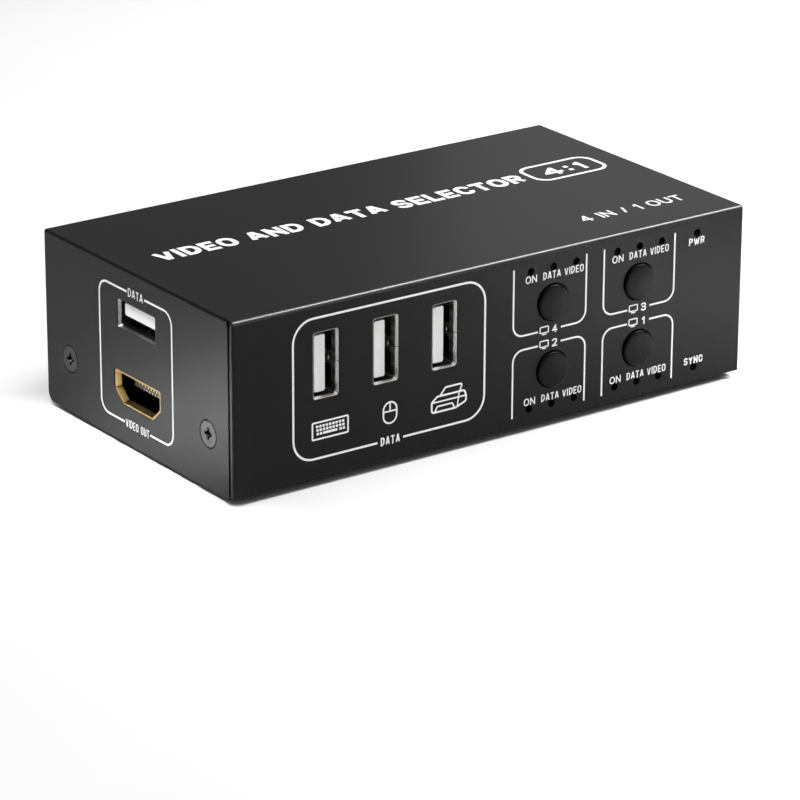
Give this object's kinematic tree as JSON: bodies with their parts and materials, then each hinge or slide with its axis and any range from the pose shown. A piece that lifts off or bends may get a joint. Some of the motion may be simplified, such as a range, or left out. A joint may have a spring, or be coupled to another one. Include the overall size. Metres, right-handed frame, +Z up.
{
  "type": "kvm switch",
  "caption": "Flat charcoal steel box that switches one screen and its peripherals between computers, with round front buttons, indicator windows and sockets on three sides.",
  "frame": {"origin": "on the table, under the middle of the whole object", "axes": "+X to the right along the width as seen from the front panel, -Y out of the front panel with its buttons, +Z up"},
  "size_m": [0.12, 0.0664, 0.036],
  "materials": {
    "case_paint": "fine satin powder coat, charcoal",
    "black_screw": "black oxide steel, semi-gloss",
    "foot_rubber": "matte black rubber",
    "nickel_steel": "nickel plated steel, semi-bright",
    "gold_plate": "gold flash on a drawn shell",
    "white_plastic": "moulded white socket core",
    "black_plastic": "moulded black plastic",
    "button_plastic": "satin black moulding with an eased rim",
    "board_laminate": "green solder mask",
    "heat_sink_aluminium": "anodised, satin",
    "capacitor_can": "bare can",
    "lamp_lens": "smoked clear lens, unlit"
  },
  "bodies": {
    "case": {"cover": "case_paint", "base_tray": "case_paint", "case_screws": "black_screw", "rubber_feet": "foot_rubber", "board_standoffs": "nickel_steel", "board_posts": "nickel_steel", "board_screws": "nickel_steel", "main_board": "board_laminate", "data_board": "board_laminate", "panel_board": "board_laminate", "end_board": "board_laminate", "board_headers": "black_plastic", "chips": "black_plastic", "heat_sink": "heat_sink_aluminium", "capacitors": "capacitor_can", "device_port_1_shell": "nickel_steel", "device_port_1_tongue": "white_plastic", "device_port_2_shell": "nickel_steel", "device_port_2_tongue": "white_plastic", "device_port_3_shell": "nickel_steel", "device_port_3_tongue": "white_plastic", "end_port_shell": "nickel_steel", "end_port_tongue": "white_plastic", "video_out_shell": "gold_plate", "video_out_tongue": "black_plastic", "video_in_1_shell": "gold_plate", "video_in_1_tongue": "black_plastic", "data_in_1_shell": "nickel_steel", "data_in_1_core": "white_plastic", "video_in_2_shell": "gold_plate", "video_in_2_tongue": "black_plastic", "data_in_2_shell": "nickel_steel", "data_in_2_core": "white_plastic", "video_in_3_shell": "gold_plate", "video_in_3_tongue": "black_plastic", "data_in_3_shell": "nickel_steel", "data_in_3_core": "white_plastic", "video_in_4_shell": "gold_plate", "video_in_4_tongue": "black_plastic", "data_in_4_shell": "nickel_steel", "data_in_4_core": "white_plastic", "control_port_shell": "nickel_steel", "control_port_tongue": "black_plastic", "power_jack_housing": "black_plastic", "power_jack_pin": "nickel_steel", "power_jack_spring": "nickel_steel", "switch_1_body": "black_plastic", "switch_2_body": "black_plastic", "switch_3_body": "black_plastic", "switch_4_body": "black_plastic", "indicators": "lamp_lens", "indicator_sleeves": "black_plastic"},
    "button_1": {"button_1_cap": "button_plastic", "button_1_plunger": "black_plastic"},
    "button_2": {"button_2_cap": "button_plastic", "button_2_plunger": "black_plastic"},
    "button_3": {"button_3_cap": "button_plastic", "button_3_plunger": "black_plastic"},
    "button_4": {"button_4_cap": "button_plastic", "button_4_plunger": "black_plastic"}
  },
  "joints": [
    {"name": "button_1_press", "type": "slide", "parent": "case", "child": "button_1", "axis": [0, 1, 0], "range_m": [0, 0.0003], "stiffness_N_per_m": 3000, "springref_m": -0.00015},
    {"name": "button_2_press", "type": "slide", "parent": "case", "child": "button_2", "axis": [0, 1, 0], "range_m": [0, 0.0003], "stiffness_N_per_m": 3000, "springref_m": -0.00015},
    {"name": "button_3_press", "type": "slide", "parent": "case", "child": "button_3", "axis": [0, 1, 0], "range_m": [0, 0.0003], "stiffness_N_per_m": 3000, "springref_m": -0.00015},
    {"name": "button_4_press", "type": "slide", "parent": "case", "child": "button_4", "axis": [0, 1, 0], "range_m": [0, 0.0003], "stiffness_N_per_m": 3000, "springref_m": -0.00015}
  ]
}
